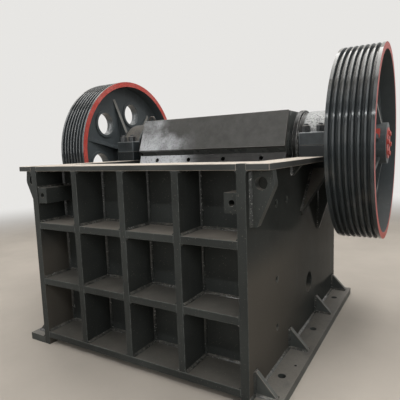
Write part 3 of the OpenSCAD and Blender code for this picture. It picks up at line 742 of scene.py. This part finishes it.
def islands(node):
    """The boxes of the separate solids in a node, as lowest and highest corners."""
    form = node_form(node)
    left, boxes = set(form.verts), []
    while left:
        stack = [left.pop()]
        found = []
        while stack:
            vert = stack.pop()
            found.append(vert.co.copy())
            for edge in vert.link_edges:
                other = edge.other_vert(vert)
                if other in left:
                    left.discard(other)
                    stack.append(other)
        boxes.append((Vector(map(min, *found)), Vector(map(max, *found))))
    form.free()
    return sorted(boxes, key=lambda box: tuple(round(v, 4) for v in box[0]))


def sideways(low, high):
    """A solid's side of the machine, and the x of its inner and its outer end."""
    return (1, low.x, high.x) if low.x > 0 else (-1, high.x, low.x)


def both_faces(low, high):
    """The front and back face of an upright plate, and which way each looks."""
    return (low.y, -1), (high.y, 1)


def upright_seam(x, y, low_z, high_z, side, way, leg):
    """A weld up a wall's outside, along the face of a plate that stands on it."""
    return (x, y, low_z), (x, y, high_z), (side, 0, 0), (0, way, 0), leg


def gusset_seams(leg):
    """Welds on both sides of each foot's gusset, along the wall and along the foot."""
    foot_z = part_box("foot_left")[1].z
    made = []
    for low, high in islands("foot_gussets"):
        side, wall, tip = sideways(low, high)
        for y, way in both_faces(low, high):
            made.append(upright_seam(wall, y, foot_z, high.z, side, way, leg))
            made.append(((wall, y, foot_z), (tip, y, foot_z), (0, 0, 1), (0, way, 0), leg))
    return made


def seat_seams(leg):
    """Welds of the brackets near the front and of the three gussets that point at the shaft."""
    boxes = islands("seat_gussets")
    front = min(high.y for low, high in boxes)
    thick = front - min(low.y for low, high in boxes)
    straight = min(boxes, key=lambda box: abs(box[0].y + box[1].y - 2 * AXIS.y))
    near, far = AXIS.z - straight[1].z, AXIS.z - straight[0].z
    made = []
    for low, high in boxes:
        side, wall, tip = sideways(low, high)
        if high.y < front + MERGE:
            for y, way in both_faces(low, high):
                made.append(upright_seam(wall, y, low.z, high.z, side, way, leg))
                made.append(((wall, y, high.z), (tip, y, high.z), (0, 0, -1), (0, way, 0), leg))
            continue
        middle = (low.y + high.y) / 2 - AXIS.y
        turn = math.radians(45) * (0 if abs(middle) < thick else math.copysign(1, middle))
        down = Vector((0, math.sin(turn), -math.cos(turn)))
        across = Vector((0, math.cos(turn), math.sin(turn)))
        for way in (-1, 1):
            foot = Vector((wall, AXIS.y, AXIS.z)) + across * way * thick / 2
            made.append((foot + down * near, foot + down * far, (side, 0, 0), across * way, leg))
    return made


def wall_seams(leg):
    """Welds along the outside of both walls, above the feet and under the side flanges."""
    made = []
    for name, side in SIDES.items():
        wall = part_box("side_wall_" + name)
        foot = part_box("foot_" + name)
        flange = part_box("top_flange_" + name)
        x = wall[1].x if side > 0 else wall[0].x
        for plate, z, up in ((foot, foot[1].z, 1), (flange, flange[0].z, -1)):
            made.append(((x, plate[0].y, z), (x, plate[1].y, z), (side, 0, 0), (0, 0, up), leg))
    return made


def lug_seams(leg):
    """Welds up both faces of each lug plate."""
    made = []
    for name in SIDES:
        for low, high in islands("lifting_lugs_" + name):
            side, wall = sideways(low, high)[:2]
            for y, way in both_faces(low, high):
                made.append(upright_seam(wall, y, low.z, high.z, side, way, leg))
    return made


def block_seams(leg):
    """Welds above and below each drilled block, along the side wall and along the front wall."""
    made = []
    for low, high in islands("drilled_blocks"):
        side, inner, wall = sideways(low, high)
        for z, way in ((low.z, -1), (high.z, 1)):
            made.append(((wall, low.y, z), (wall, high.y, z), (-side, 0, 0), (0, 0, way), leg))
            made.append(((wall, high.y, z), (inner, high.y, z), (0, -1, 0), (0, 0, way), leg))
    return made


class CRUSHER_OT_welds(CrusherOperator):
    """Lay the fillet welds of the frame"""
    bl_idname = "crusher.welds"
    bl_label = "Welds"

    def execute(self, context):
        leg, small = sizes().weld_leg, sizes().small_leg
        welds("front_welds", front_cells().seams(leg))
        welds("rear_welds", rear_cells().seams(leg))
        welds("wall_welds", wall_seams(small))
        welds("gusset_welds", gusset_seams(small) + seat_seams(small))
        welds("lug_welds", lug_seams(leg))
        welds("block_welds", block_seams(small))
        return {"FINISHED"}


class CRUSHER_OT_bearings(CrusherOperator):
    """Finish the bearing housings and caps and set their nuts"""
    bl_idname = "crusher.bearings"
    bl_label = "Bearings"

    def execute(self, context):
        form = bmesh.new()
        for name in SIDES:
            finished("bearing_housing_" + name, "bearing_iron", "bearing_iron", rounding=0.004)
            finished("bearing_cap_" + name, "bearing_iron", "cap_" + name, rounding=0.005)
            finished("bearing_covers_" + name, "bearing_iron", "cover_iron", rounding=0.003)
            self.cap_nuts(form, "bearing_cap_" + name)
        bmesh.ops.recalc_face_normals(form, faces=form.faces)
        piece_from("cap_nuts", form, "frame", "bearing_iron", "black_steel")
        return {"FINISHED"}

    def cap_nuts(self, form, cap):
        """Two nuts in front of a cap and two behind it, on its flat flange."""
        low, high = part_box(cap)
        top = self.flange_top(cap)
        middle = (low.x + high.x) / 2
        off_middle, inset = 0.036, 0.030
        for x in (middle - off_middle, middle + off_middle):
            for y in (low.y + inset, high.y - inset):
                self.nut(form, Vector((x, y, top)))

    @staticmethod
    def flange_top(cap):
        """Height of a cap's flat flange: its highest corner at the front end."""
        corners = [v.co for v in frame["nodes"][cap].data.vertices]
        front = min(corner.y for corner in corners)
        return max(corner.z for corner in corners if corner.y < front + 0.001)

    @staticmethod
    def nut(form, foot):
        """A washer, a nut and the end of its stud."""
        up = Vector((0, 0, 1))
        across, height = sizes().nut_across, sizes().nut_height
        washer, washer_radius, stud = 0.003, 0.54 * across, 0.3 * across
        half = 0.5 * height
        turned_form(form, [(0, washer_radius), (washer, washer_radius)], foot, up, steps=32)
        hex_nut(form, foot + up * washer, up, across, height, turn=math.radians(30))
        turned_form(form, [(0, stud), (half + 0.006, stud), (half + 0.009, 0.8 * stud)],
            foot + up * (washer + half), up, steps=20)


class CRUSHER_OT_wheels(CrusherOperator):
    """Finish the wheels, their red rims, hubs and clamp rings"""
    bl_idname = "crusher.wheels"
    bl_label = "Wheels"

    def execute(self, context):
        for node in ("flywheel", "drive_pulley"):
            finished(node, "wheel_iron", *self.WEARS, rounding=self.ROUNDING, pick=self.picker(node),
                turned_faces=True)
        self.clamp_rings()
        finished("eccentric_shaft", "bright_steel", "bright_steel", rounding=0.003)
        self.clamp_bolts()
        self.hub_keys()
        return {"FINISHED"}

    @staticmethod
    def clamp_rings():
        """The rings, with their outer faces sunk to make room for the bolts' heads."""
        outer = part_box("clamp_rings")[1].x
        head = sizes().clamp_head
        edge = 0.003  # More than the rounding, less than a ring's thickness

        def make_room(form):
            for vert in form.verts:
                if abs(vert.co.x) > outer - edge:
                    vert.co.x -= math.copysign(head, vert.co.x)
        finished("clamp_rings", "red_paint", "red_paint", rounding=0.0012, reshape=make_room)

    @staticmethod
    def clamp_bolts():
        """Red bolts with washers, in a circle on the outer face of each ring."""
        head, count = sizes().clamp_head, sizes().clamp_bolts
        circle, first, across, foot = 0.057, math.radians(54), 0.021, 0.001
        washer, washer_radius = 0.002, 0.014
        low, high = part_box("clamp_rings")
        form = bmesh.new()
        for side, face in ((-1, low.x + head), (1, high.x - head)):
            out = Vector((side, 0, 0))
            for i in range(count):
                t = first + 2 * math.pi * i / count
                spot = Vector((face, AXIS.y + circle * math.cos(t), AXIS.z + circle * math.sin(t)))
                turned_form(form, [(-washer, washer_radius), (washer, washer_radius)], spot, out, steps=24)
                hex_nut(form, spot + out * foot, out, across, head - foot, turn=t)
        bmesh.ops.recalc_face_normals(form, faces=form.faces)
        piece_from("clamp_bolts", form, "rotor", "red_paint", "red_paint")

    @staticmethod
    def hub_keys():
        """A red locking key on the front of each hub, near its outer end."""
        from_end, wide, long, high, sunk = 0.038, 0.023, 0.046, 0.020, 0.006
        wheel_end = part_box("drive_pulley")[1].x
        corners = [v.co for v in frame["nodes"]["drive_pulley"].data.vertices]
        hub = max(from_axis(corner) for corner in corners if corner.x > wheel_end - MERGE)
        tilt = math.radians(154)
        out = Vector((0, math.cos(tilt), math.sin(tilt)))
        up = Vector((0, -out.z, out.y))
        form = bmesh.new()
        for side in SIDES.values():
            middle = Vector((side * (wheel_end - from_end), AXIS.y, AXIS.z)) + out * (hub - sunk)
            base = [middle + Vector((a * wide / 2, 0, 0)) + up * b * long / 2
                for a, b in ((-1, -1), (1, -1), (1, 1), (-1, 1))]
            join_rings(form, [[form.verts.new(corner + out * rise) for corner in base] for rise in (0, high)])
        bmesh.ops.recalc_face_normals(form, faces=form.faces)
        bmesh.ops.bevel(form, geom=form.edges[:], offset=0.002, segments=2, profile=0.5, affect="EDGES")
        piece_from("hub_keys", form, "rotor", "red_paint", "red_paint")

    # A wheel's finishes, and the number of each
    WEARS = ("wheel_iron", "red_paint", "wheel_land", "groove_side", "groove_floor", "rib_edge",
        "hole_bore")
    PLAIN, RED, LAND, SIDE, FLOOR, RIB, BORE = range(7)
    ROUNDING = 0.0025
    NEAR = 0.004  # A little more than the rounding

    @classmethod
    def picker(cls, node):
        """Red on the flat ends of the rim, gloss on the lands, grooves with painted shade on their floors, pale
        edges on the ribs that are partly painted light.
        """
        low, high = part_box(node)
        outer = (high.z - low.z) / 2
        corners = [v.co for v in frame["nodes"][node].data.vertices]
        rim = [corner.x for corner in corners if from_axis(corner) > outer - 0.001]
        ends = (min(rim), max(rim))
        bore = min(from_axis(corner) for corner in corners if abs(corner.x - ends[0]) < MERGE)
        middle = (ends[0] + ends[1]) / 2
        hub_end = max(abs(corner.x - middle) for corner in corners)
        past_rim = ends[1] - middle + 0.001
        hub = max(from_axis(corner) for corner in corners if abs(corner.x - middle) > past_rim)

        def pick_rim(face, inner, far):
            from_ends = min(abs(v.co.x - e) for v in face.verts for e in ends)
            if from_ends < 0.003 and abs(face.normal.x) > 0.4:
                return cls.RED
            if inner > outer - 0.0035:
                return cls.LAND
            if inner < bore + cls.NEAR:
                return cls.PLAIN
            return cls.FLOOR if far < outer - 0.012 else cls.SIDE

        def pick(face):
            radii = [from_axis(v.co) for v in face.verts]
            inner, far = min(radii), max(radii)
            if inner > bore - cls.NEAR:
                return pick_rim(face, inner, far)
            out_of_web = abs(face.calc_center_median().x - middle)
            if hub - cls.NEAR < far < hub + 0.001 and out_of_web > hub_end - 2 * cls.NEAR:
                return cls.RIB
            if far > bore - 0.05 or far < 0.15:
                return cls.PLAIN
            if out_of_web < 0.006 and abs(face.normal.x) < 0.2:
                return cls.BORE
            sloping = 0.5 < abs(face.normal.x) < 0.995
            # Only rib faces that look up get the pale finish: partly dust, partly painted light from above.
            return cls.RIB if sloping and face.normal.z > 0.1 and out_of_web > 0.024 else cls.PLAIN
        return pick


class CRUSHER_OT_swing_jaw(CrusherOperator):
    """Finish the swing jaw with its guard, clamp bar and plate"""
    bl_idname = "crusher.swing_jaw"
    bl_label = "Swing Jaw"

    def execute(self, context):
        finished("swing_jaw", "jaw_paint", "jaw_paint", rounding=0.006)
        finished("jaw_ribs", "jaw_paint", "jaw_paint", rounding=0.004)
        finished("moving_jaw_plate", "liner_steel", "liner_steel", rounding=0.003)
        finished("clamp_bar", "guard_steel", "bar_steel", "cover_iron", rounding=0.003,
            pick=self.hole_picker())
        finished("guard_plate", "guard_steel", "guard_steel", rounding=0.003)
        finished("jaw_toggle_seat", "liner_steel", "liner_steel")
        finished("jaw_lifting_eye", "bright_steel", "eye_paint", rounding=0.0004)
        return {"FINISHED"}

    @staticmethod
    def hole_picker():
        """The second finish in the clamp bar's bolt holes: on small faces away from the bar's edges."""
        low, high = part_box("clamp_bar")
        margin = 0.012

        def pick(face):
            centre = face.calc_center_median()
            inside = low.z + margin < centre.z < high.z - margin and abs(centre.x) < high.x - margin
            return 1 if inside and face.calc_area() < SMALL_FACE else 0
        return pick


class CRUSHER_OT_chamber(CrusherOperator):
    """Finish the fixed jaw plate, cheek plates and toggle"""
    bl_idname = "crusher.chamber"
    bl_label = "Chamber and Toggle"

    def execute(self, context):
        for node in ("fixed_jaw_plate", "cheek_plate_left", "cheek_plate_right", "toggle_seat",
                "toggle_plate"):
            finished(node, "liner_steel", "liner_steel", rounding=0.003)
        return {"FINISHED"}


class CRUSHER_OT_stage(CrusherOperator):
    """Set the camera, the lamps, the floor and the background"""
    bl_idname = "crusher.stage"
    bl_label = "Stage"

    def execute(self, context):
        scene = context.scene
        scene.view_settings.view_transform = "Standard"
        self.camera(scene)
        self.lamps(scene)
        self.world(scene)
        self.floor(scene)
        return {"FINISHED"}

    @staticmethod
    def camera(scene):
        s = scene.crusher_stage
        data = bpy.data.cameras.new("camera")
        data.sensor_width = 36.0
        data.lens = s.lens
        camera = bpy.data.objects.new("camera", data)
        turn = (Matrix.Rotation(s.azimuth, 4, "Z") @ Matrix.Rotation(math.pi / 2 - s.elevation, 4, "X")
            @ Matrix.Rotation(-s.roll, 4, "Z"))
        camera.matrix_world = Matrix.Translation(s.camera_at) @ turn
        scene.collection.objects.link(camera)
        scene.camera = camera

    @staticmethod
    def lamps(scene):
        """A wide soft light overhead, strips at the sides and a weak fill in front."""
        for name, place, aim, size, power, roll in (
            ("overhead", (0.3, 0.8, 4.2), (0, 0, 0.6), (4.0, 3.0), 150.0, 0),
            ("left_side", (-3.4, 0.6, 2.6), (-0.6, 0.1, 1.0), (1.2, 2.6), 14.0, 0),
            ("left_low", (-3.4, -2.33, 1.75), (-0.82, -0.2, 1.05), (0.5, 1.5), 6.0, 12),
            ("left_high", (-3.4, -1.4, 3.1), (-0.82, -0.2, 1.15), (0.5, 1.9), 8.0, 50),
            ("right_front", (3.2, -2.4, 1.7), (0.85, 0.2, 0.9), (0.8, 1.2), 20.0, 0),
            ("right_side", (3.0, 2.4, 3.6), (-0.6, 0.2, 1.1), (2.0, 1.2), 28.0, 0),
            ("front_roof", (0.3, -2.0, 4.2), (0.1, -0.2, 0.9), (4.0, 1.2), 22.0, 0),
            ("front_strip", (0.2, -2.65, 2.7), (0.2, -0.2, 1.1), (4.0, 0.10), 34.0, 0),
            ("front_fill", (0.4, -4.4, 2.0), (0, 0, 0.6), (3.0, 2.0), 22.0, 0),
        ):
            data = bpy.data.lights.new(name, "AREA")
            data.shape = "RECTANGLE"
            data.size, data.size_y = size
            data.energy = power
            lamp = bpy.data.objects.new(name, data)
            lamp.location = place
            lamp.visible_camera = False
            turn = (Vector(aim) - Vector(place)).to_track_quat("-Z", "Y")
            lamp.rotation_euler = (turn @ Quaternion((0, 0, 1), math.radians(roll))).to_euler()
            scene.collection.objects.link(lamp)

    @staticmethod
    def world(scene):
        """Dim grey for lighting, and the pale backdrop where the camera and the gloss see it."""
        world = bpy.data.worlds.new("world")
        world.use_nodes = True
        n = Nodes(world.node_tree)
        ambient = n.node("ShaderNodeBackground", {"Color": (1.0, 1.0, 1.0), "Strength": 0.22})
        seen = n.node("ShaderNodeBackground", {"Color": scene.crusher_stage.backdrop})
        both = n.blend(n.background_rays(), ambient.outputs["Background"], seen.outputs["Background"])
        n.node("ShaderNodeOutputWorld", {"Surface": both})
        scene.world = world

    @staticmethod
    def floor(scene):
        """A wide disc that takes the shadow. Far away it turns into the backdrop."""
        f = Finish("floor")
        colour = scene.crusher_stage.floor
        f.done(f.mix(f.clouds(1.3, detail=6.0), scaled(colour, 0.94), scaled(colour, 1.06)), 0.8, sheen=0.0)
        away = f.node("ShaderNodeVectorMath", {0: f.place}, operation="LENGTH").outputs["Value"]
        glow = f.node("ShaderNodeEmission", {"Color": scene.crusher_stage.backdrop})
        share = f.times(f.spread(away, 3.0, 6.4), f.background_rays())
        f.put(f.blend(share, f.shader.outputs["BSDF"], glow.outputs["Emission"]), f.surface)
        form = bmesh.new()
        bmesh.ops.create_circle(form, cap_ends=True, segments=96, radius=60.0)
        mesh = bpy.data.meshes.new("floor")
        form.to_mesh(mesh)
        form.free()
        floor = bpy.data.objects.new("floor", mesh)
        mesh.materials.append(f.material)
        scene.collection.objects.link(floor)


OPERATORS = (CRUSHER_OT_plates, CRUSHER_OT_welds, CRUSHER_OT_bearings, CRUSHER_OT_wheels,
    CRUSHER_OT_swing_jaw, CRUSHER_OT_chamber, CRUSHER_OT_stage)


class CRUSHER_PT_panel(bpy.types.Panel):
    """Lists the settings and the steps of the crusher"""
    bl_idname = "CRUSHER_PT_panel"
    bl_label = "Jaw Crusher"
    bl_space_type = "VIEW_3D"
    bl_region_type = "UI"
    bl_category = "Crusher"

    def draw(self, context):
        for name in SETTINGS:
            settings = getattr(context.scene, name)
            box = self.layout.box()
            for key in settings.bl_rna.properties.keys():
                if key not in ("rna_type", "name"):
                    box.prop(settings, key)
        for operator in OPERATORS:
            self.layout.operator(operator.bl_idname)


def register():
    for name, group in SETTINGS.items():
        bpy.utils.register_class(group)
        setattr(bpy.types.Scene, name, bpy.props.PointerProperty(type=group))
    for operator in OPERATORS:
        bpy.utils.register_class(operator)
    bpy.utils.register_class(CRUSHER_PT_panel)


def unregister():
    bpy.utils.unregister_class(CRUSHER_PT_panel)
    for operator in reversed(OPERATORS):
        bpy.utils.unregister_class(operator)
    for name, group in SETTINGS.items():
        delattr(bpy.types.Scene, name)
        bpy.utils.unregister_class(group)


def main():
    register()
    make_finishes()
    for operator in OPERATORS:
        group, call = operator.bl_idname.split(".")
        getattr(getattr(bpy.ops, group), call)()


if __name__ == "__main__":
    main()
